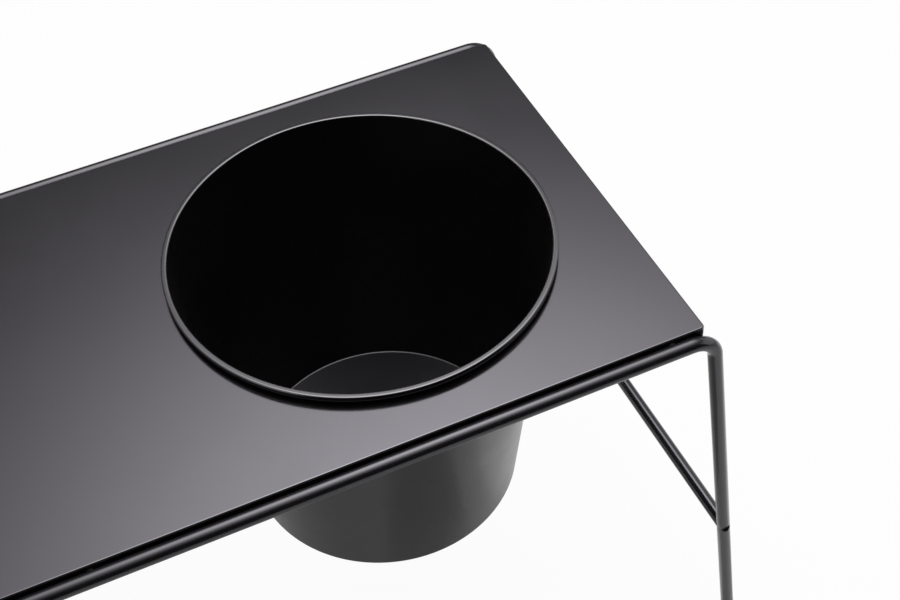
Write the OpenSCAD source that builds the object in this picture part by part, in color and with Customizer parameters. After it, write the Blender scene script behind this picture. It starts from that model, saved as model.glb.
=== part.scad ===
// Coffee table with a lift-out planter pot: a folded steel panel between two bent round bars.
// Millimetres, +Z up. The origin is on the floor, under the middle of the table.
// +X runs along the length towards the pot's end, and +Y to the back.

/* [Panel] */
// Length of the top panel
panel_l = 1000; // [900:10:1300]
// Width of the top panel
panel_w = 402; // [380:1:480]
// Height of the panel's top face above the floor
table_h = 480; // [460:5:540]
// Thickness of the panel's sheet
sheet_t = 1.5; // [1.25:0.25:1.75]
// Outside radius of the folds along the panel's edges
fold_r = 2; // [2:0.25:3.5]
// Radius of the panel's corners, seen from above
corner_r = 2.5; // [2.5:0.5:8]
// Depth of the folded flanges, from the top face down
flange_h = 20; // [18:1:30]

/* [Frames] */
// Diameter of the round bar
bar_d = 12; // [11:0.5:14]
// Open gap between the flange and the bar
bar_gap = 0.6; // [0.6:0.2:3]
// How far the bar's crown lies below the panel's top face
bar_drop = 2; // [1:0.5:4]
// Centre-line radius of the bar's bends
bend_r = 24; // [20:1:32]
// How much the bar's radius draws in where it is bent
bend_draw = 0.01; // [0.01:0.01:0.1]
// How far the lines of the run and the leg cross past the panel's end
corner_past = 4.6; // [3:0.1:12]
// Lean of each leg away from the upright, in degrees
leg_splay = 8.4; // [6:0.1:12]

/* [Stretchers] */
// Depth of the stretchers' centre line below the panel's top face
stretcher_drop = 300; // [260:5:360]
// Diameter of the stretchers' round bar
stretcher_d = 12; // [10:0.5:12]
// Gap left between a stretcher's hollowed end and the leg
cope_gap = 0.1; // [0.05:0.05:0.2]

/* [Pot] */
// Diameter of the rim bead's centre line
rim_d = 325; // [300:5:335]
// Diameter of the rolled bead
bead_d = 5; // [4.5:0.5:8]
// Height of the bead's underside above the panel
rim_lift = 3.5; // [0.5:0.5:8]
// Diameter of the pot at its base
pot_base_d = 257; // [230:1:280]
// Depth of the pot below the panel's top face
pot_depth = 282; // [240:2:320]
// Thickness of the pot's sheet
pot_t = 1.5; // [1.25:0.25:2]
// Distance from the pot's axis to the panel's end
pot_inset = 211; // [195:1:260]
// Gap between the pot's tapered wall and the edge of its hole
hole_gap = 0.3; // [0.2:0.1:1]
// Leg of the weld between the base and the wall
base_weld = 2; // [1:0.5:4]
// Gap between the base and the wall that it is welded in
base_gap = 0.1; // [0.05:0.05:0.2]

/* [Stiffeners] */
// Depth of the channels under the panel
stiffener_h = 14; // [10:1:16]
// Width of a channel's crown
stiffener_w = 36; // [28:2:50]
// Width of each welding lip of a channel
stiffener_lip = 12; // [8:1:16]
// Thickness of the channels' sheet
stiffener_t = 1.5; // [1:0.25:2]
// Outside radius of the channels' folds
stiffener_r = 3; // [2.5:0.5:4]
// Gap between a channel's end and the flange
stiffener_gap = 1; // [0.5:0.5:3]

/* [Fasteners] */
// Number of screws along each side of the panel
panel_screws = 3; // [3:1:5]
// Distance from the panel's end to its first screw
panel_screw_inset = 30; // [30:5:90]
// Diameter of all the screws
screw_d = 5; // [4:0.5:5]
// Play of a screw in a plain hole, across the diameter
screw_play = 0.5; // [0.3:0.1:0.8]
// Play of a screw in its tapped hole, across the diameter
thread_play = 0.1; // [0.05:0.05:0.15]
// Diameter of the panel screws' heads
panel_head_d = 8.5; // [8:0.25:9]
// Height of the panel screws' heads
panel_head_h = 5; // [3:0.5:5]
// Depth of the panel screws' threads in the bar
panel_thread = 8; // [6:0.5:8]
// Diameter of the spacers between the panel and the bar
spacer_d = 8; // [8:0.5:10]
// Diameter of the stretcher screws' heads
stretcher_head_d = 8; // [7:0.5:8]
// Height of the stretcher screws' heads
stretcher_head_h = 3; // [2:0.5:3.5]
// Play of a stretcher screw's head in its recess, across the diameter
head_play = 0.5; // [0.3:0.1:0.8]
// How far a stretcher screw's head lies below the leg's surface
head_sink = 1; // [0.5:0.25:1.5]
// Depth of the stretcher screws' threads in the stretcher
stretcher_thread = 16; // [12:1:25]
// Width across the flats of the sockets in the screws' heads
socket_w = 3; // [2.5:0.5:4]
// Depth of the sockets
socket_h = 1.8; // [1:0.2:2]
// Extra depth of a tapped hole past the screw's tip
tap_past = 1; // [0.5:0.5:2]

/* [Feet] */
// Wall of the caps on the legs
cap_t = 2; // [1.5:0.25:3]
// Thickness of a cap under the leg's end
cap_floor = 3; // [2:0.5:5]
// Height of a cap, along the leg
cap_h = 16; // [12:1:30]
// Height of the bevel at a cap's mouth
cap_bevel = 2; // [1:0.5:3]
// Gap between a cap and the leg
cap_gap = 0.1; // [0.05:0.05:0.2]

/* [Hidden] */
$fn = 96;

BLACK = "#1d1d1f";
RUBBER = "#141414";
STEEL = "#2c2c2e";

// Signs of the sides: the front is at -Y and the right end, with the pot, at +X
front = -1;
back = 1;
left = -1;
right = 1;

// The bars' places
bar_r = bar_d / 2;
bar_y = panel_w / 2 + bar_gap + bar_r;
bar_z = table_h - bar_drop - bar_r;
bend_turn = 90 - leg_splay;
corner_x = panel_l / 2 + corner_past;
bend_x = corner_x - bend_r * tan(bend_turn / 2);
bend_z = bar_z - bend_r;
// Length of a leg from its bend to the floor, and a length past it, to be cut there
leg_l = (bend_z + bend_r * sin(leg_splay)) / cos(leg_splay);
leg_reach = leg_l + bend_r;
// Distance along the leg from its bend to the mouth of its cap
cap_mouth = leg_l - cap_h;

// The stretchers' places
stretcher_z = table_h - stretcher_drop;
stretcher_x = corner_x + (bar_z - stretcher_z) * tan(leg_splay);
recess_h = head_sink + stretcher_head_h;

// The pot's places and radii
pot_x = panel_l / 2 - pot_inset;
bead_r = bead_d / 2;
bead_z = table_h + rim_lift + bead_r;
pot_z = table_h - pot_depth;
base_out_r = pot_base_d / 2;
top_out_r = rim_d / 2 - bead_r + pot_t;
hole_r = wall_out_r(table_h) + hole_gap;
// Directions, from the bead's centre, between which its curl stays open
curl_from = 195;
curl_to = 265;

// The stiffeners share out the panel from its left end to the pot's hole
clear_l = pot_x - hole_r + panel_l / 2;
stiffener_step = clear_l / 3;
stiffener_x = [
    -panel_l / 2 + stiffener_step,
    -panel_l / 2 + 2 * stiffener_step
];
stiffener_l = panel_w - 2 * (sheet_t + stiffener_gap);

// The panel's screws
screw_pitch = (panel_l - 2 * panel_screw_inset) / (panel_screws - 1);
screw_x = [for (i = [0 : panel_screws - 1]) i * screw_pitch - panel_l / 2 + panel_screw_inset];

// Least radius inside the panel's corners
corner_least = 0.5;
// Larger than the table, for cutting with flat faces
far = 2 * panel_l;
// How far a cutting shape stands past the face that it opens
past = 1;
// How far a bar's straight stretches run into its bends, so that they are one piece
lap = 0.1;

// Outside radius of the pot's wall at height z
function wall_out_r(z) = base_out_r + (top_out_r - base_out_r) * (z - pot_z) / (bead_z - pot_z);
// Inside radius of the pot's wall at height z
function wall_in_r(z) = wall_out_r(z) - pot_t;

// Lays a shape that stands on XY down along the side's outward direction, -Y or +Y
module outward(side) {
    rotate([-side * 90, 0, 0]) children();
}

// Everything below height z, for cutting
module below(z) {
    translate([0, 0, z - far / 2]) cube(far, center = true);
}

// Flat shape of width w and height h, standing on X, with both upper corners rounded
module rounded_section(w, h, r) {
    translate([-w / 2, 0]) square([w, h - r]);
    translate([r - w / 2, 0]) square([w - 2 * r, h]);
    for (side = [left, right]) {
        translate([side * (w / 2 - r), h - r]) circle(r);
    }
}

// Flat rectangle with rounded corners, about the origin
module rounded_plan(l, w, r) {
    square([l - 2 * r, w], center = true);
    square([l, w - 2 * r], center = true);
    for (x = [left, right]) {
        for (y = [front, back]) {
            translate([x * (l / 2 - r), y * (w / 2 - r)]) circle(r);
        }
    }
}

// Block whose top edges are folded over with radius r and whose corners are rounded with radius plan_r
module tray_block(l, w, h, r, plan_r) {
    intersection() {
        rotate([90, 0, 90]) linear_extrude(l + 2 * past, center = true) rounded_section(w, h, r);
        rotate([90, 0, 0]) linear_extrude(w + 2 * past, center = true) rounded_section(l, h, r);
        translate([0, 0, -past]) linear_extrude(h + 2 * past) rounded_plan(l, w, plan_r);
    }
}

// Folded tray, open below, with the pot's hole and the screws' holes in its long flanges
module top_panel() {
    color(BLACK) difference() {
        translate([0, 0, table_h - flange_h]) tray_block(panel_l, panel_w, flange_h, fold_r, corner_r);
        translate([0, 0, table_h - flange_h - past])
            tray_block(panel_l - 2 * sheet_t, panel_w - 2 * sheet_t, flange_h - sheet_t + past,
                       fold_r - sheet_t, max(corner_r - sheet_t, corner_least));
        translate([pot_x, 0, table_h - flange_h]) cylinder(r = hole_r, h = flange_h + past);
        for (side = [front, back]) {
            for (x = screw_x) {
                translate([x, side * (panel_w / 2 - sheet_t - past), bar_z])
                    outward(side) cylinder(d = screw_d + screw_play, h = sheet_t + 2 * past);
            }
        }
    }
}

// Flat outline of a channel: a crown with two walls and a welding lip along each
module stiffener_section() {
    inner_w = stiffener_w - 2 * stiffener_t;
    difference() {
        rounded_section(stiffener_w, stiffener_h, stiffener_r);
        translate([0, -past])
            rounded_section(inner_w, stiffener_h - stiffener_t + past, stiffener_r - stiffener_t);
    }
    for (side = [left, right]) {
        translate([side * (stiffener_w + stiffener_lip - stiffener_t) / 2, stiffener_t / 2])
            square([stiffener_lip + stiffener_t, stiffener_t], center = true);
    }
}

// Channel across the panel's underside, crown down, spot welded through its lips
module stiffener(x) {
    color(BLACK) translate([x, 0, table_h - sheet_t]) rotate([-90, 0, 0])
        linear_extrude(stiffener_l, center = true) stiffener_section();
}

// Moves a shape drawn at the right end's bend to either end
module at_bend(end) {
    mirror([end == left ? 1 : 0, 0, 0]) translate([bend_x, 0, bend_z]) children();
}

// Lays a shape that stands on XY along the leg, from the end of the bend down
module along_leg() {
    rotate([0, bend_turn, 0]) translate([0, 0, bend_r]) rotate([0, 90, 0]) children();
}

// One bar from foot to foot: a run, two bends and two splayed legs, in the plane y = 0
module bent_bar() {
    difference() {
        for (end = [left, right]) {
            at_bend(end) {
                translate([lap, 0, bend_r]) rotate([0, -90, 0]) cylinder(r = bar_r, h = bend_x + lap);
                rotate([90, 0, 0]) rotate([0, 0, leg_splay]) rotate_extrude(angle = bend_turn)
                    translate([bend_r, 0]) circle(bar_r - bend_draw);
                along_leg() translate([0, 0, -lap]) cylinder(r = bar_r, h = leg_reach);
            }
        }
        below(cap_floor);
    }
}

// Bent bar of one side, with tapped holes for the panel and a stepped hole through each leg
module side_frame(side) {
    color(BLACK) difference() {
        translate([0, side * bar_y, 0]) bent_bar();
        for (x = screw_x) {
            translate([x, side * (panel_w / 2), bar_z])
                outward(side) cylinder(d = screw_d + thread_play, h = bar_gap + panel_thread + tap_past);
        }
        for (end = [left, right]) {
            translate([end * stretcher_x, side * (bar_y - bar_r - past), stretcher_z])
                outward(side) cylinder(d = screw_d + screw_play, h = bar_d + 2 * past);
            translate([end * stretcher_x, side * (bar_y + bar_r - recess_h), stretcher_z])
                outward(side) cylinder(d = stretcher_head_d + head_play, h = recess_h + past);
        }
    }
}

// Bar between the two legs of one end, its ends hollowed to the legs and tapped
module stretcher(end) {
    color(BLACK) difference() {
        translate([end * stretcher_x, 0, stretcher_z]) rotate([90, 0, 0])
            cylinder(d = stretcher_d, h = 2 * bar_y, center = true);
        for (side = [front, back]) {
            translate([0, side * bar_y, 0]) at_bend(end) along_leg()
                cylinder(r = bar_r + cope_gap, h = leg_reach);
            translate([end * stretcher_x, side * (bar_y - bar_r - stretcher_thread - tap_past), stretcher_z])
                outward(side) cylinder(d = screw_d + thread_play, h = stretcher_thread + tap_past + bar_r);
        }
    }
}

// Socket screw along +Z, its head's underside at z = 0 and its tip at -shank
module socket_screw(head_d, head_h, shank) {
    difference() {
        union() {
            translate([0, 0, -shank]) cylinder(d = screw_d, h = shank);
            cylinder(d = head_d, h = head_h);
        }
        translate([0, 0, head_h - socket_h])
            cylinder(r = socket_w / 2 / cos(30), h = socket_h + past, $fn = 6);
    }
}

// Screw through a leg into the stretcher's end
module stretcher_screw(side, end) {
    color(STEEL) translate([end * stretcher_x, side * (bar_y + bar_r - recess_h), stretcher_z])
        outward(side) socket_screw(stretcher_head_d, stretcher_head_h, bar_d - recess_h + stretcher_thread);
}

// Screws from inside the tray through its flange and the spacers into the bar
module side_panel_screws(side) {
    color(STEEL) for (x = screw_x) {
        translate([x, side * (panel_w / 2 - sheet_t), bar_z])
            outward(-side) socket_screw(panel_head_d, panel_head_h, sheet_t + bar_gap + panel_thread);
    }
}

// Spacers between the flange and the bar, hollowed on one face to sit on the bar
module side_spacers(side) {
    color(RUBBER) for (x = screw_x) {
        difference() {
            translate([x, side * panel_w / 2, bar_z]) outward(side) cylinder(d = spacer_d, h = bar_gap + bar_r);
            translate([x, side * (panel_w / 2 - past), bar_z])
                outward(side) cylinder(d = screw_d + screw_play, h = bar_gap + bar_r + 2 * past);
            translate([x, side * bar_y, bar_z]) rotate([0, 90, 0])
                cylinder(r = bar_r, h = spacer_d + 2 * past, center = true);
        }
    }
}

// Cap pushed on a leg's end and cut level with the floor
module foot_cap(side, end) {
    bore_r = bar_r + cap_gap;
    color(RUBBER) translate([0, side * bar_y, 0]) difference() {
        at_bend(end) along_leg() {
            translate([0, 0, cap_mouth + cap_bevel]) cylinder(r = bore_r + cap_t, h = 2 * cap_h);
            translate([0, 0, cap_mouth]) cylinder(r1 = bore_r + cap_t / 2, r2 = bore_r + cap_t, h = cap_bevel);
        }
        difference() {
            at_bend(end) along_leg() cylinder(r = bore_r, h = leg_reach);
            below(cap_floor);
        }
        below(0);
    }
}

// Flat outline of the pot's wall and its rolled bead, with the axis at x = 0
module wall_section() {
    polygon([
        [base_out_r - pot_t, pot_z],
        [base_out_r, pot_z],
        [top_out_r, bead_z],
        [top_out_r - pot_t, bead_z]
    ]);
    translate([rim_d / 2, bead_z]) difference() {
        circle(bead_r);
        circle(bead_r - pot_t);
        polygon([
            [0, 0],
            bead_d * [cos(curl_from), sin(curl_from)],
            bead_d * [cos((curl_from + curl_to) / 2), sin((curl_from + curl_to) / 2)],
            bead_d * [cos(curl_to), sin(curl_to)]
        ]);
    }
}

// Tapered wall of the pot, with the rolled bead that stands over the panel
module pot_wall() {
    color(BLACK) translate([pot_x, 0, 0]) rotate_extrude() wall_section();
}

// Flat base inside the foot of the wall, with its weld seam in the corner
module pot_base() {
    floor_z = pot_z + pot_t;
    seam_z = floor_z + base_weld;
    color(BLACK) translate([pot_x, 0, 0]) rotate_extrude() polygon([
        [0, pot_z],
        [wall_in_r(pot_z) - base_gap, pot_z],
        [wall_in_r(seam_z) - base_gap, seam_z],
        [wall_in_r(floor_z) - base_gap - base_weld, floor_z],
        [0, floor_z]
    ]);
}

top_panel();
stiffener(stiffener_x[0]);  // stiffener_left
stiffener(stiffener_x[1]);  // stiffener_middle
side_frame(front);  // front_frame
side_frame(back);  // back_frame
stretcher(left);  // left_stretcher
stretcher(right);  // right_stretcher
stretcher_screw(front, left);  // stretcher_screw_front_left
stretcher_screw(front, right);  // stretcher_screw_front_right
stretcher_screw(back, left);  // stretcher_screw_back_left
stretcher_screw(back, right);  // stretcher_screw_back_right
foot_cap(front, left);  // foot_cap_front_left
foot_cap(front, right);  // foot_cap_front_right
foot_cap(back, left);  // foot_cap_back_left
foot_cap(back, right);  // foot_cap_back_right
side_spacers(front);  // front_spacers
side_spacers(back);  // back_spacers
side_panel_screws(front);  // front_panel_screws
side_panel_screws(back);  // back_panel_screws
pot_wall();
pot_base();
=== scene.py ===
import math

import bmesh
import bpy
import numpy as np
from mathutils import Matrix


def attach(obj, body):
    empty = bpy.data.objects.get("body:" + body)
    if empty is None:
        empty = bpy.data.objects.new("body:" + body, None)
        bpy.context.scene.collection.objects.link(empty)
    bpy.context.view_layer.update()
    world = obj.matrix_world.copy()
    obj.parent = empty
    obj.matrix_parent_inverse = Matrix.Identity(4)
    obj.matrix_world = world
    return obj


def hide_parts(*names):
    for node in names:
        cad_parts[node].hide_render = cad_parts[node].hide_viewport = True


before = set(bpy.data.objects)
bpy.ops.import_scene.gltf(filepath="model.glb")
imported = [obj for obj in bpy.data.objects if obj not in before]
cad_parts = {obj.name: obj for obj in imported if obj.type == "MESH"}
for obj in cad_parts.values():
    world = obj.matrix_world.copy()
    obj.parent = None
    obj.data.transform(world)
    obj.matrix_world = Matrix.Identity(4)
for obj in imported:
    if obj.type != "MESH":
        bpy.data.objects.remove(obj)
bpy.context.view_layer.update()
scene = bpy.context.scene
scene.view_settings.view_transform = "Standard"


# Camera
# It stands in front of the table, left of the planter's end and above the top, and looks down
# at the planter. The left end of the table and the feet lie outside the picture.
camera_data = bpy.data.cameras.new("camera")
camera_data.sensor_width = 36
camera_data.lens = 57.93
camera_data.shift_x = 0.0194
camera_data.shift_y = 0.0517
camera_data.clip_end = 100
camera = bpy.data.objects.new("camera", camera_data)
camera_right = (0.91188, -0.40758, -0.04848)
camera_down = (-0.33884, -0.68084, -0.64934)
camera_ahead = (0.23165, 0.60855, -0.75895)
camera_place = (0.03707, -0.81428, 1.34077)
camera.matrix_world = Matrix([
    (camera_right[i], -camera_down[i], -camera_ahead[i], camera_place[i]) for i in range(3)
] + [(0, 0, 0, 1)])
scene.collection.objects.link(camera)
scene.camera = camera


# Studio
# A white floor in a white room. A softbox hangs over the table and glows in its top, a black
# flag behind it keeps the far side of the top dark, and a black screen stands before the table.
# Cards on the floor glow and show only in reflections: as painted light they give the planter's
# outside its light right edge, and as painted shade its dark middle.
def link(tree, giver, giver_socket, taker, taker_socket):
    """Joins an output socket of one node to an input socket of another."""
    tree.links.new(giver.outputs[giver_socket], taker.inputs[taker_socket])


def add(tree, kind, sockets=(), **settings):
    """Adds a node to a tree, with its settings by name and its sockets by name or number."""
    made = tree.nodes.new(kind)
    for key, value in settings.items():
        setattr(made, key, value)
    for key, value in dict(sockets).items():
        made.inputs[key].default_value = value
    return made


def seen_share(tree, camera_share, mirror_share):
    """A number that is camera_share for rays from the camera, mirror_share for rays that come
    by a mirror or through glass, and 0 for soft light."""
    rays = add(tree, "ShaderNodeLightPath")
    either = add(tree, "ShaderNodeMath", operation="MAXIMUM")
    link(tree, rays, "Is Glossy Ray", either, 0)
    link(tree, rays, "Is Transmission Ray", either, 1)
    mirrored = add(tree, "ShaderNodeMath", {1: mirror_share}, operation="MULTIPLY")
    link(tree, either, 0, mirrored, 0)
    total = add(tree, "ShaderNodeMath", {1: camera_share}, operation="MULTIPLY_ADD")
    link(tree, rays, "Is Camera Ray", total, 0)
    link(tree, mirrored, 0, total, 2)
    return total


room_light = 0.2
room = bpy.data.worlds.new("room")
room.use_nodes = True
tree = room.node_tree
strength = add(tree, "ShaderNodeMath", {1: 1 - room_light, 2: room_light}, operation="MULTIPLY_ADD")
link(tree, seen_share(tree, 1, 1), 0, strength, 0)
tree.nodes["Background"].inputs["Color"].default_value = (1, 1, 1, 1)
link(tree, strength, 0, tree.nodes["Background"], "Strength")
scene.world = room


def screen(name, corners):
    """A flat stage piece of the given corners, in metres."""
    mesh = bpy.data.meshes.new(name)
    mesh.from_pydata(corners, [], [(0, 1, 2, 3)])
    piece = bpy.data.objects.new(name, mesh)
    scene.collection.objects.link(piece)
    return piece


def level_screen(name, low_x, low_y, high_x, high_y, height):
    """A stage piece that lies level, from its low corner to its high corner."""
    return screen(name, [(low_x, low_y, height), (high_x, low_y, height),
                         (high_x, high_y, height), (low_x, high_y, height)])


def blank_material(name):
    """A new material without its usual shader, and its node tree."""
    made = bpy.data.materials.new(name)
    made.use_nodes = True
    made.node_tree.nodes.clear()
    return made, made.node_tree


floor_reach, floor_height = 15, -0.0002
floor_seen, floor_mirrored = 0.95, 0.2
floor = level_screen("floor", -floor_reach, -floor_reach, floor_reach, floor_reach, floor_height)
floor_paint, tree = blank_material("white_floor")
matt = add(tree, "ShaderNodeBsdfDiffuse", {"Color": (0.85, 0.85, 0.85, 1)})
glow = add(tree, "ShaderNodeEmission", {"Strength": 1.0})
mixed = add(tree, "ShaderNodeMixShader")
link(tree, seen_share(tree, floor_seen, floor_mirrored), 0, mixed, 0)
link(tree, matt, 0, mixed, 1)
link(tree, glow, 0, mixed, 2)
link(tree, mixed, 0, add(tree, "ShaderNodeOutputMaterial"), "Surface")
floor.data.materials.append(floor_paint)

black_cloth = bpy.data.materials.new("black_cloth")
black_cloth.use_nodes = True
cloth_shader = black_cloth.node_tree.nodes["Principled BSDF"]
cloth_shader.inputs["Base Color"].default_value = (0.015, 0.015, 0.015, 1)
cloth_shader.inputs["Specular IOR Level"].default_value = 0
back_flag = screen("back_flag", [(-5, 2.2, 2.0), (6, 2.2, 2.0), (6, 4.5, 0.9), (-5, 4.5, 0.9)])
front_screen = screen("front_screen",
                      [(-3, -2.4, 0.01), (3, -2.4, 0.01), (3, -2.4, 3.0), (-3, -2.4, 3.0)])
back_flag.data.materials.append(black_cloth)
front_screen.data.materials.append(black_cloth)
card_height = 0.001


def floor_card(name, low_x, low_y, high_x, high_y, strength):
    """A card that lies on the floor and shows only in what mirrors it, with an even glow."""
    card = level_screen(name, low_x, low_y, high_x, high_y, card_height)
    mirror_glow, tree = blank_material(name + "_paper")
    glow = add(tree, "ShaderNodeEmission", {"Strength": strength})
    link(tree, glow, 0, add(tree, "ShaderNodeOutputMaterial"), "Surface")
    card.data.materials.append(mirror_glow)
    return card


# Painted light on the floor to the right, and painted shade in front of the planter, as the planter mirrors
# them.
right_card = floor_card("right_card", 0.68, -0.3, 2.5, 2.0, strength=1.2)
middle_card = floor_card("middle_card", 0.48, -0.2, 0.68, 2.0, strength=0.9)
shade_card = floor_card("shade_card", 0.2, -0.45, 0.42, -0.18, strength=0.28)
for cloth in (back_flag, front_screen, right_card, middle_card, shade_card):
    cloth.visible_camera = False
    cloth.visible_shadow = False
    cloth.visible_diffuse = False

# The softbox is a white cloth with its lamp behind it, so it is brightest over the planter and
# fades towards its edges as a bell curve, e to the power of minus half the squared distance.
brightest, least_glow = 5.7, 0.2
softbox_height = 2.0
lamp_middle, lamp_spread = (0.60, 0.45, softbox_height), (0.60, 0.62, 1.0)
softbox = screen("softbox", [(-1.4, -1.6, softbox_height), (-1.4, 2.2, softbox_height),
                             (2.6, 2.2, softbox_height), (2.6, -1.6, softbox_height)])
softbox_cloth, tree = blank_material("softbox_cloth")
spot = add(tree, "ShaderNodeTexCoord")
centred = add(tree, "ShaderNodeVectorMath", {1: lamp_middle}, operation="SUBTRACT")
link(tree, spot, "Object", centred, 0)
spread = add(tree, "ShaderNodeVectorMath", {1: lamp_spread}, operation="DIVIDE")
link(tree, centred, 0, spread, 0)
squared = add(tree, "ShaderNodeVectorMath", operation="DOT_PRODUCT")
link(tree, spread, 0, squared, 0)
link(tree, spread, 0, squared, 1)
halved = add(tree, "ShaderNodeMath", {1: -0.5}, operation="MULTIPLY")
link(tree, squared, "Value", halved, 0)
bell = add(tree, "ShaderNodeMath", operation="EXPONENT")
link(tree, halved, 0, bell, 0)
level = add(tree, "ShaderNodeMath", {1: brightest, 2: least_glow}, operation="MULTIPLY_ADD")
link(tree, bell, 0, level, 0)
glow = add(tree, "ShaderNodeEmission")
link(tree, level, 0, glow, "Strength")
link(tree, glow, 0, add(tree, "ShaderNodeOutputMaterial"), "Surface")
softbox.data.materials.append(softbox_cloth)
softbox.visible_camera = False
softbox.visible_shadow = False


# Top panel
# One sheet of 1.5 mm steel, folded down on all four sides into a shallow tray, its corners welded
# and ground round, with a round hole for the planter. Black satin powder coat all over.
table_top = 0.480
panel_half_length, panel_half_width = 0.500, 0.201
sheet, flange, fold = 0.0015, 0.020, 0.0012
corner_radius, least_corner = 0.0025, 0.0004
ground_depth, ground_growth = 0.006, 0.0022
pot_x, hole_radius = 0.289, 0.16111
lip = 0.0003


def coat_skin_group():
    """Node group for powder coat. A noise of about a millimetre is the orange peel of the skin and
    changes its shade a little, a noise of about a decimetre changes its gloss, and the wear is 1
    on the mesh's sharp edges, where the coat is rubbed, and less where the slow noise is low."""
    group = bpy.data.node_groups.new("powder_coat_skin", "ShaderNodeTree")
    given = (("Colour", "NodeSocketColor", (0.006, 0.006, 0.006, 1)),
             ("Peel scale", "NodeSocketFloat", 700.0),
             ("Roughness", "NodeSocketFloat", 0.35),
             ("Gloss change", "NodeSocketFloat", 0.05))
    for name, kind, value in given:
        group.interface.new_socket(name, in_out="INPUT", socket_type=kind).default_value = value
    made = (("Colour", "NodeSocketColor"), ("Roughness", "NodeSocketFloat"),
            ("Height", "NodeSocketFloat"), ("Wear", "NodeSocketFloat"))
    for name, kind in made:
        group.interface.new_socket(name, in_out="OUTPUT", socket_type=kind)
    inputs, outputs = add(group, "NodeGroupInput"), add(group, "NodeGroupOutput")

    def stretched(low, high, to_low, to_high):
        """A node that maps the range from low to high to another."""
        return add(group, "ShaderNodeMapRange",
                   {"From Min": low, "From Max": high, "To Min": to_low, "To Max": to_high})

    place = add(group, "ShaderNodeTexCoord")
    peel = add(group, "ShaderNodeTexNoise", {"Detail": 2.0, "Roughness": 0.5})
    slow = add(group, "ShaderNodeTexNoise", {"Scale": 9.0, "Detail": 3.0, "Roughness": 0.55})
    link(group, place, "Object", peel, "Vector")
    link(group, place, "Object", slow, "Vector")
    link(group, inputs, "Peel scale", peel, "Scale")
    level = stretched(0.3, 0.7, -1.0, 1.0)
    link(group, slow, 0, level, "Value")
    rough = add(group, "ShaderNodeMath", operation="MULTIPLY_ADD")
    link(group, level, 0, rough, 0)
    link(group, inputs, "Gloss change", rough, 1)
    link(group, inputs, "Roughness", rough, 2)
    shade = stretched(0.25, 0.75, 0.7, 1.3)
    link(group, peel, 0, shade, "Value")
    tint = add(group, "ShaderNodeVectorMath", operation="SCALE")
    link(group, inputs, "Colour", tint, 0)
    link(group, shade, 0, tint, "Scale")
    edge = stretched(0.506, 0.514, 0.0, 1.0)
    link(group, add(group, "ShaderNodeNewGeometry"), "Pointiness", edge, "Value")
    rubbed = stretched(0.3, 0.6, 0.6, 1.0)
    link(group, slow, 0, rubbed, "Value")
    wear = add(group, "ShaderNodeMath", operation="MULTIPLY")
    link(group, edge, 0, wear, 0)
    link(group, rubbed, 0, wear, 1)
    link(group, wear, 0, outputs, "Wear")
    link(group, tint, 0, outputs, "Colour")
    link(group, rough, 0, outputs, "Roughness")
    link(group, peel, 0, outputs, "Height")
    return group


coat_skin = coat_skin_group()


def coat(name, colour, roughness, peel_scale, peel_height, gloss=0.5, tint=(1, 1, 1, 1), edge_gloss=0):
    """A powder coat, or a plastic, rubber or blackened steel with as fine a skin. The skin group
    drives colour, roughness and bump, and an edge gloss is the refractive index of the polish on
    its rubbed edges."""
    made = bpy.data.materials.new(name)
    made.use_nodes = True
    tree = made.node_tree
    shader = tree.nodes["Principled BSDF"]
    shader.inputs["IOR"].default_value = 1.55
    shader.inputs["Specular IOR Level"].default_value = gloss
    shader.inputs["Specular Tint"].default_value = tint
    skin = add(tree, "ShaderNodeGroup", node_tree=coat_skin)
    skin.inputs["Colour"].default_value = colour
    skin.inputs["Peel scale"].default_value = peel_scale
    skin.inputs["Roughness"].default_value = roughness
    link(tree, skin, "Colour", shader, "Base Color")
    link(tree, skin, "Roughness", shader, "Roughness")
    if edge_gloss:
        shader.inputs["Coat IOR"].default_value = edge_gloss
        shader.inputs["Coat Roughness"].default_value = 0.12
        link(tree, skin, "Wear", shader, "Coat Weight")
    bump = add(tree, "ShaderNodeBump", {"Strength": 0.6, "Distance": peel_height})
    link(tree, skin, "Height", bump, "Height")
    link(tree, bump, "Normal", shader, "Normal")
    return made


def grid_faces(rows, columns, first, close_rows):
    """Quads of a grid of points that are numbered row by row from first on, as corner numbers. The
    last column joins the first one, and so does the last row where the rows close."""
    row = np.arange(rows if close_rows else rows - 1)[:, None]
    column = np.arange(columns)[None, :]
    next_row, next_column = (row + 1) % rows, (column + 1) % columns
    corners = [row * columns + column, row * columns + next_column,
               next_row * columns + next_column, next_row * columns + column]
    return np.stack(corners, -1).reshape(-1, 4) + first


def piece_of(name, grids, material, body, nodes, crisp=40):
    """Makes one object of several point grids. Each grid is its points, (rows, columns, 3), and
    whether its rows close. Doubles are merged and the faces turned outwards."""
    same_place, no_length = 2e-6, 1e-7
    places, quads, count = [], [], 0
    for points, close_rows in grids:
        rows, columns = points.shape[:2]
        places.append(points.reshape(-1, 3))
        quads.append(grid_faces(rows, columns, count, close_rows))
        count += rows * columns
    mesh = bpy.data.meshes.new(name)
    mesh.from_pydata(np.concatenate(places), [], np.concatenate(quads))
    shape = bmesh.new()
    shape.from_mesh(mesh)
    bmesh.ops.remove_doubles(shape, verts=shape.verts, dist=same_place)
    bmesh.ops.dissolve_degenerate(shape, edges=shape.edges, dist=no_length)
    bmesh.ops.recalc_face_normals(shape, faces=shape.faces)
    shape.to_mesh(mesh)
    shape.free()
    mesh.materials.append(material)
    mesh.polygons.foreach_set("use_smooth", np.ones(len(mesh.polygons), bool))
    mesh.set_sharp_from_angle(angle=math.radians(crisp))
    piece = bpy.data.objects.new(name, mesh)
    scene.collection.objects.link(piece)
    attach(piece, body)
    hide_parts(*nodes)


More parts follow.
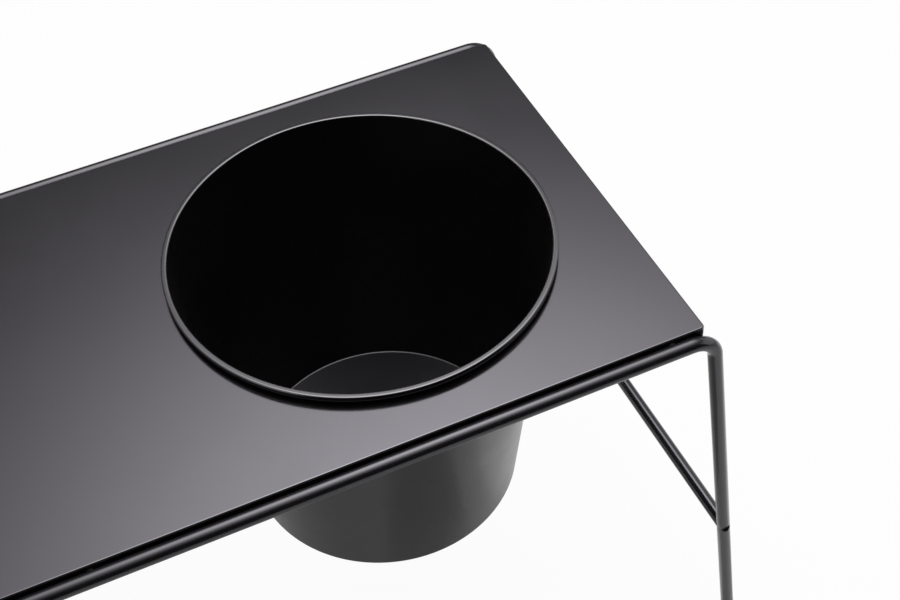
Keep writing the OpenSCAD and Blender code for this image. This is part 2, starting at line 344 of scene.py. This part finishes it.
def rounded_loop(inset, corner, height, along=126, across=60, turn=10):
    """Closed loop round the panel, inset from its edges: four straight sides and four quarter
    circles of the corner radius, always with the same number of points."""
    half_x, half_y = panel_half_length - inset - corner, panel_half_width - inset - corner
    centres = np.array([(half_x, half_y), (-half_x, half_y), (-half_x, -half_y), (half_x, -half_y)])
    loop = []
    for k, steps in enumerate((along, across, along, across)):
        angle = (k + np.linspace(0, 1, turn)) * math.pi / 2
        rounding = centres[k] + corner * np.stack([np.cos(angle), np.sin(angle)], -1)
        next_angle = (k + 1) * math.pi / 2
        start = centres[(k + 1) % 4] + corner * np.array([math.cos(next_angle), math.sin(next_angle)])
        share = np.linspace(0, 1, steps + 1)[1:-1, None]
        loop += [rounding, rounding[-1] + share * (start - rounding[-1])]
    loop = np.concatenate(loop)
    return np.column_stack([loop, np.full(len(loop), height)])


def hole_loop(radius, height):
    """Circle round the planter's axis, with a point in the direction of each of the panel's."""
    outer = rounded_loop(0, corner_radius, 0)
    angle = np.arctan2(outer[:, 1], outer[:, 0] - pot_x)
    x, y = pot_x + radius * np.cos(angle), radius * np.sin(angle)
    return np.stack([x, y, np.full(len(angle), height)], -1)


def tray_loop(inset, height):
    """A loop of the folded edge. Its corners are ground round: over the ground depth their radius
    grows by the ground growth times one minus the root of one minus the squared share."""
    share = min(max((height - table_top) / ground_depth + 1, 0), 1)
    corner = corner_radius + ground_growth * (1 - math.sqrt(1 - share ** 2))
    return rounded_loop(inset, max(corner - inset, least_corner), height)


def lip_steps(turns):
    """Two distances at each turn of a small round edge. The first falls from the lip to nothing,
    as one minus the sine, and the second rises from nothing to it, as one minus the cosine."""
    return [(lip * (1 - math.sin(turn)), lip * (1 - math.cos(turn))) for turn in turns]


# Rings stand close to the panel's edges, so that the wear stays on them.
quarter = np.linspace(0, math.pi / 2, 9)
lip_turns, lip_middle = quarter[::2], 0.7
shares = np.linspace(0, 1, 7)
tray_low, sheet_under = table_top - flange, table_top - sheet
outside = [tray_loop(0, tray_low + lip), tray_loop(0, tray_low + 2 * lip)]
outside += [tray_loop(0, z) for z in np.linspace(table_top - ground_depth, table_top - fold - lip, 7)]
outside += [tray_loop(fold * (1 - math.cos(a)), table_top - fold * (1 - math.sin(a))) for a in quarter]
fold_edge, hole_edge = tray_loop(fold + 2 * lip, table_top), hole_loop(hole_radius + 4 * lip, table_top)
rim_side = hole_loop(hole_radius + 12 * lip, table_top)
face = [fold_edge + share * (rim_side - fold_edge) for share in shares] + [hole_edge]
edge = [hole_loop(hole_radius + falling, table_top - rising) for falling, rising in lip_steps(lip_turns)]
edge += [hole_loop(hole_radius, sheet_under + lip)]
edge += [hole_loop(hole_radius + rising, sheet_under + falling) for falling, rising in lip_steps(lip_turns)]
under_hole = hole_loop(hole_radius + 4 * lip, sheet_under)
under_edge = tray_loop(sheet + 3 * lip, sheet_under)
under = [under_hole + share * (under_edge - under_hole) for share in shares]
inside = [tray_loop(sheet + falling, sheet_under - rising) for falling, rising in lip_steps(lip_turns)]
inside += [tray_loop(sheet, tray_low + 2 * lip), tray_loop(sheet, tray_low + lip)]
inside += [tray_loop(sheet - rising, tray_low + falling) for falling, rising in lip_steps(quarter[1::3])]
inside += [tray_loop(lip, tray_low)]
inside += [tray_loop(falling, tray_low + rising) for falling, rising in lip_steps([lip_middle])]
panel_coat = coat("panel_coat", colour=(0.003, 0.003, 0.0035, 1), roughness=0.17, peel_scale=700.0,
                  peel_height=0.000006, gloss=0.7, tint=(0.95, 0.895, 1.0, 1), edge_gloss=1.9)
tray = [(np.array(outside + face + edge + under + inside), True)]
piece_of("tray", tray, panel_coat, "table", ["top_panel"])


# Stiffeners
# Two channels folded from thin steel, under the open part of the top, spot welded through the
# lips along both of their sides and coated with the panel.
for node in ("stiffener_left", "stiffener_middle"):
    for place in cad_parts[node].material_slots:
        place.material = panel_coat


# Side frames
# Each side is one 12 mm round bar from foot to foot, bent twice, its legs leaning outwards. A
# stepped hole through each leg takes the screw of the stretcher, its head sunk in a recess. The
# bar's radius is given with its coat, and its run and leg would cross at crossing_x.
bar = 0.0062
bar_y, bar_z = 0.2076, 0.472
lean, bend_radius = math.radians(8.4), 0.024
crossing_x = 0.5046
bend_x = crossing_x - bend_radius * math.tan((math.pi / 2 - lean) / 2)
bend_z = bar_z - bend_radius
leg_start = np.array([bend_x + bend_radius * math.cos(lean), 0, bend_z + bend_radius * math.sin(lean)])
leg_way = np.array([math.sin(lean), 0, -math.cos(lean)])
leg_length = leg_start[2] / math.cos(lean)
stretcher_z = 0.180
stretcher_x = crossing_x + (bar_z - stretcher_z) * math.tan(lean)
recess_radius, recess_depth, recess_lip = 0.00425, 0.004, 0.00015
patch_half = 0.008
# Rings stand at the first two gaps from the bend, and the leg ends at the third from the floor,
# inside its cap.
run_gap, leg_gap, foot_gap = 0.001, 0.002, 0.004
around, bend_rings, leg_rings = 48, 22, 12
full_turn = np.linspace(0, 2 * math.pi, around, endpoint=False)
bar_coat = coat("bar_coat", colour=(0.008, 0.0075, 0.0085, 1), roughness=0.2, peel_scale=900.0,
                peel_height=0.000006, gloss=0.7, tint=(0.97, 0.93, 1.0, 1))


def rings(centres, ways, out, radius):
    """Circles of points round a bent line: each is its centre plus the radius times the cosine of
    the turn along out, and the sine along the line's way crossed with out."""
    side = np.cross(ways, out)
    along_out = np.cos(full_turn)[None, :, None] * out[None, None, :]
    along_side = np.sin(full_turn)[None, :, None] * side[:, None, :]
    return centres[:, None, :] + radius * (along_out + along_side)


def recess_patch(centre, way, out, rows=8, side_points=10):
    """A length of bar with a blind recess: the unrolled surface is a rectangle, and lines run from
    its border to the recess's mouth, down its wall and over its floor to the middle."""
    turn = np.linspace(-math.pi, math.pi, around + 1)
    climb = np.linspace(-patch_half, patch_half, side_points + 2)
    border_turn = np.concatenate([turn, np.full(side_points + 1, math.pi),
                                  turn[::-1][1:], np.full(side_points, -math.pi)])
    border_way = np.concatenate([np.full(around + 1, -patch_half), climb[1:],
                                 np.full(around, patch_half), climb[::-1][1:-1]])
    angle = np.arctan2(border_way, bar * border_turn)
    side = np.cross(way, out)

    def mouth(radius):
        """Turn and way of a circle round the recess's middle, on the bar."""
        return np.arcsin(np.clip(radius * np.cos(angle) / bar, -1, 1)), radius * np.sin(angle)

    def on_bar(turns, ways, depth=0.0):
        """Places on the bar, or the given depth under its outer side."""
        return (centre + ways[:, None] * way + (bar * np.cos(turns) - depth)[:, None] * out
                + (bar * np.sin(turns))[:, None] * side)

    mouth_turn, mouth_way = mouth(recess_radius + recess_lip)
    patch = []
    for share in np.linspace(1, 0, rows):
        turns = mouth_turn + share * (border_turn - mouth_turn)
        ways = mouth_way + share * (border_way - mouth_way)
        patch.append(on_bar(turns, ways))
    wall_turn, wall_way = mouth(recess_radius)
    patch.append(on_bar(wall_turn, wall_way, recess_lip))
    for radius in (recess_radius, 0.0):
        circle = radius * (np.sin(angle)[:, None] * way + np.cos(angle)[:, None] * side)
        patch.append(centre + (bar - recess_depth) * out + circle)
    return np.array(patch)


def side_frame(name, side):
    """Makes one bar, from the middle of its run to both feet: rings along the run, round the bend,
    an arc of a quarter turn less the lean, and down the leg, with the recess's patch in it."""
    out = np.array([0.0, side, 0.0])
    steps = np.linspace(0, math.pi / 2 - lean, bend_rings)
    recess_at = (leg_start[2] - stretcher_z) / math.cos(lean)
    grids = []
    for end in (1, -1):
        to_end = np.array([end, 1, 1])
        place = np.array([0, side * bar_y, 0])
        way = leg_way * to_end
        top = leg_start * to_end + place
        bend_places = np.stack([end * (bend_x + bend_radius * np.sin(steps)),
                                np.full(len(steps), side * bar_y),
                                bend_z + bend_radius * np.cos(steps)], -1)
        bend_ways = np.stack([end * np.cos(steps), 0 * steps, -np.sin(steps)], -1)
        down = np.linspace(leg_gap, recess_at - patch_half, leg_rings)[:, None]
        start = np.array([[0, side * bar_y, bar_z], [end * (bend_x - run_gap), side * bar_y, bar_z]])
        centres = np.concatenate([start, bend_places, top + down * way])
        ways = np.concatenate([np.tile([[end, 0, 0]], (2, 1)), bend_ways, np.tile(way, (len(down), 1))])
        grids.append((rings(centres, ways, out, bar), False))
        grids.append((recess_patch(top + recess_at * way, way, out), False))
        low = np.linspace(recess_at + patch_half, leg_length - foot_gap, leg_rings)[:, None]
        foot = rings(top + low * way, np.tile(way, (len(low), 1)), out, bar)
        middle = np.repeat((top + low[-1] * way)[None, None, :], around, 1)
        grids.append((np.concatenate([foot, middle]), False))
    piece_of(name + "_bent_bar", grids, bar_coat, "table", [name + "_frame"])


side_frame("front", -1)
side_frame("back", 1)


# Stretchers
# A bar of the same round steel across each end. Its ends are hollowed to sit against the legs,
# and tapped for the screws that come through them.
hollow_gap = 0.0001
hollow_radius = bar + hollow_gap


def stretcher(name, end):
    """Makes a tube whose end rings follow the leg: a point that lies s off the leg's axis, square
    to the leg, ends the root of the hollow's squared radius minus s squared before that axis."""
    x, z = bar * np.cos(full_turn), bar * np.sin(full_turn)
    off = x * math.cos(lean) + end * z * math.sin(lean)
    reach = bar_y - np.sqrt(hollow_radius ** 2 - off ** 2)
    rows = [np.stack([end * stretcher_x + x, share * reach, stretcher_z + z], -1)
            for share in (-1.0, -0.97, -0.5, 0.0, 0.5, 0.97, 1.0)]
    caps = [np.repeat([[end * stretcher_x, side * (bar_y - hollow_radius), stretcher_z]], around, 0)
            for side in (-1, 1)]
    tube = [(np.array([caps[0]] + rows + [caps[1]]), False)]
    piece_of(name + "_end_bar", tube, bar_coat, "table", [name + "_stretcher"])


stretcher("left", -1)
stretcher("right", 1)


# Screws
# Socket screws of blackened steel. Four hold the stretchers, sunk in the legs, and six hold the
# panel to the bars, put in from inside the tray.
leg_head_radius, leg_head_height, leg_shank = 0.004, 0.002, 0.024
tray_head_radius, tray_head_height, tray_shank = 0.00425, 0.005, 0.0116
thread_radius, tip_radius, tip_height = 0.0025, 0.0022, 0.0003
socket_half, socket_depth, socket_point = 0.0015, 0.0018, 0.0024
small_bevel, head_bevel = 0.0002, 0.0004
panel_screws_x = (-0.470, 0, 0.470)
screw_steel = coat("screw_steel", colour=(0.006, 0.006, 0.006, 1), roughness=0.3, peel_scale=2500.0,
                   peel_height=0.000005)


def screw(seat, out, head_radius, head_height, shank):
    """A screw turned round its axis, with a socket: rings of a circle for the shank and the head,
    and inside it rings of a hexagon, whose radius is its half width over the cosine of the turn
    from the middle of a flat."""
    from_corner = np.abs((full_turn + math.pi / 6) % (math.pi / 3) - math.pi / 6)
    hexagon = socket_half / np.cos(math.pi / 6 - from_corner)
    circle = np.ones(around)
    profile = [(0 * circle, -shank),
               (tip_radius * circle, -shank),
               (thread_radius * circle, -shank + tip_height),
               (thread_radius * circle, 0),
               ((head_radius - small_bevel) * circle, 0),
               (head_radius * circle, small_bevel),
               (head_radius * circle, head_height - head_bevel),
               ((head_radius - head_bevel) * circle, head_height),
               (hexagon + small_bevel, head_height),
               (hexagon, head_height - small_bevel),
               (hexagon, head_height - socket_depth),
               (0 * circle, head_height - socket_point)]
    out = np.asarray(out, float)
    sideways = np.array([1.0, 0, 0])
    upright = np.cross(out, sideways)
    ray = np.cos(full_turn)[:, None] * sideways + np.sin(full_turn)[:, None] * upright
    return np.array([seat + height * out + radius[:, None] * ray for radius, height in profile])


for side, side_word in ((-1, "front"), (1, "back")):
    for end, end_word in ((-1, "left"), (1, "right")):
        seat = np.array([end * stretcher_x, side * (bar_y + bar - recess_depth), stretcher_z])
        leg_screw = screw(seat, (0, side, 0), leg_head_radius, leg_head_height, leg_shank)
        piece_of(f"{side_word}_{end_word}_leg_screw", [(leg_screw, False)], screw_steel, "table",
                 [f"stretcher_screw_{side_word}_{end_word}"], crisp=30)
    seats = [np.array([x, side * (panel_half_width - sheet), bar_z]) for x in panel_screws_x]
    tray_screws = [(screw(seat, (0, -side, 0), tray_head_radius, tray_head_height, tray_shank), False)
                   for seat in seats]
    piece_of(f"{side_word}_tray_screws", tray_screws, screw_steel, "table",
             [f"{side_word}_panel_screws"], crisp=30)


# Spacers
# Black plastic rings round the panel's screws, between the tray's flange and the bar. One face is
# hollowed to sit on the bar.
ring_inside, ring_outside = 0.00275, 0.004
spacer_plastic = coat("spacer_plastic", colour=(0.002, 0.002, 0.002, 1), roughness=0.6, peel_scale=1500.0,
                      peel_height=0.00001, gloss=0.2)


def spacer(x, side):
    """A ring round the screw: its inner end is flat, and its outer end lies on the bar, the root
    of the bar's squared radius minus the height squared before the bar's axis."""
    corners = ((ring_inside, False), (ring_outside, False), (ring_outside, True), (ring_inside, True))
    rows = []
    for radius, on_bar in corners:
        height = radius * np.sin(full_turn)
        reach = bar_y - np.sqrt(bar ** 2 - height ** 2) if on_bar else np.full(around, panel_half_width)
        rows.append(np.stack([x + radius * np.cos(full_turn), side * reach, bar_z + height], -1))
    return np.array(rows)


for side, side_word in ((-1, "front"), (1, "back")):
    side_rings = [(spacer(x, side), True) for x in panel_screws_x]
    piece_of(f"{side_word}_rings", side_rings, spacer_plastic, "table",
             [f"{side_word}_spacers"])


# Foot caps
# Caps moulded of black rubber and pushed on the ends of the legs, their undersides level with
# the floor.
foot_rubber = coat("foot_rubber", colour=(0.012, 0.012, 0.012, 1), roughness=0.7, peel_scale=1500.0,
                   peel_height=0.00004, gloss=0.3)
for node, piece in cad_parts.items():
    if node.startswith("foot_cap"):
        for place in piece.material_slots:
            place.material = foot_rubber


# Planter wall
# Sheet steel of 1.5 mm, rolled to a tapering round and curled outwards at the top into a bead of
# 5 mm. It stands by its taper in the panel's hole and lifts out.
pot_low, base_outside = 0.198, 0.1285
bead_z, bead_middle, bead = 0.486, 0.1625, 0.0025
rim_outside = 0.1615
wall_sheet, foot_bevel = 0.0015, 0.0004
pot_coat = coat("pot_coat", colour=(0.003, 0.003, 0.003, 1), roughness=0.28, peel_scale=800.0,
                peel_height=0.000006, gloss=0.7, tint=(0.97, 0.92, 1.0, 1), edge_gloss=1.75)


def turned(profile, name, node, count=288):
    """Makes a piece of a closed outline of radius and height, turned round the planter's axis."""
    turn = np.linspace(0, 2 * math.pi, count, endpoint=False)
    profile = np.array(profile, float)
    places = np.stack([pot_x + profile[:, :1] * np.cos(turn), profile[:, :1] * np.sin(turn),
                       np.repeat(profile[:, 1:], count, 1)], -1)
    piece_of(name, [(places, True)], pot_coat, "pot", [node])


def wall_outside(height):
    """Outside radius of the wall: it widens evenly from the base to the bead's middle."""
    return base_outside + (rim_outside - base_outside) * (height - pot_low) / (bead_z - pot_low)


def arc(radius, start, end, steps, crown=4.5):
    """Points of the bead's outline from one direction to another, in degrees: a circle that is a
    little flattened, because its width and its height, both to the power of crown, add up to the
    radius to that power."""
    angle = np.radians(np.linspace(start, end, steps))
    flat = (np.abs(np.cos(angle)) ** crown + np.abs(np.sin(angle)) ** crown) ** (-1 / crown)
    return [(bead_middle + radius * f * math.cos(a), bead_z + radius * f * math.sin(a))
            for a, f in zip(angle, flat)]


# The wall has more rings near its foot and its bead, so that the wear stays on their edges.
foot_rings = pot_low + foot_bevel * np.array([1, 2, 4, 8])
wall_rings = np.linspace(pot_low + 0.010, bead_z - 0.012, 10)
bead_rings = bead_z - np.array([0.0045, 0.0025, 0.0009])
climb = np.concatenate([foot_rings, wall_rings, bead_rings])
outline = [(base_outside - foot_bevel, pot_low)] + [(wall_outside(z), z) for z in climb]
outline += arc(bead - wall_sheet, 195, -95, 20)
outline += arc(bead, -95, 180, 30)
outline += [(wall_outside(z) - wall_sheet, z) for z in climb[::-1]]
outline += [(base_outside - wall_sheet + foot_bevel, pot_low)]
turned(outline, "planter_wall", "pot_wall")


# Planter base
# A flat disc of the same sheet, set inside the foot of the wall. A small weld seam runs round the
# corner and is coated with the rest.
base_top = pot_low + wall_sheet
seam, base_gap = 0.002, 0.0001
foot_radius = wall_outside(pot_low) - wall_sheet - base_gap
seam_radius = wall_outside(base_top + seam) - wall_sheet - base_gap
seam_turns = np.linspace(0, math.pi / 2, 7)[1:]
disc_radii = seam_radius - seam * np.array([1.2, 1.5, 2, 4, 8])
outline = [(0, pot_low), (foot_radius - foot_bevel, pot_low), (foot_radius, pot_low + foot_bevel)]
outline += [(seam_radius, base_top + seam)]
outline += [(seam_radius - seam * (1 - math.cos(turn)), base_top + seam * (1 - math.sin(turn)))
            for turn in seam_turns]
outline += [(radius, base_top) for radius in disc_radii] + [(0, base_top)]
turned(outline, "planter_base", "pot_base")
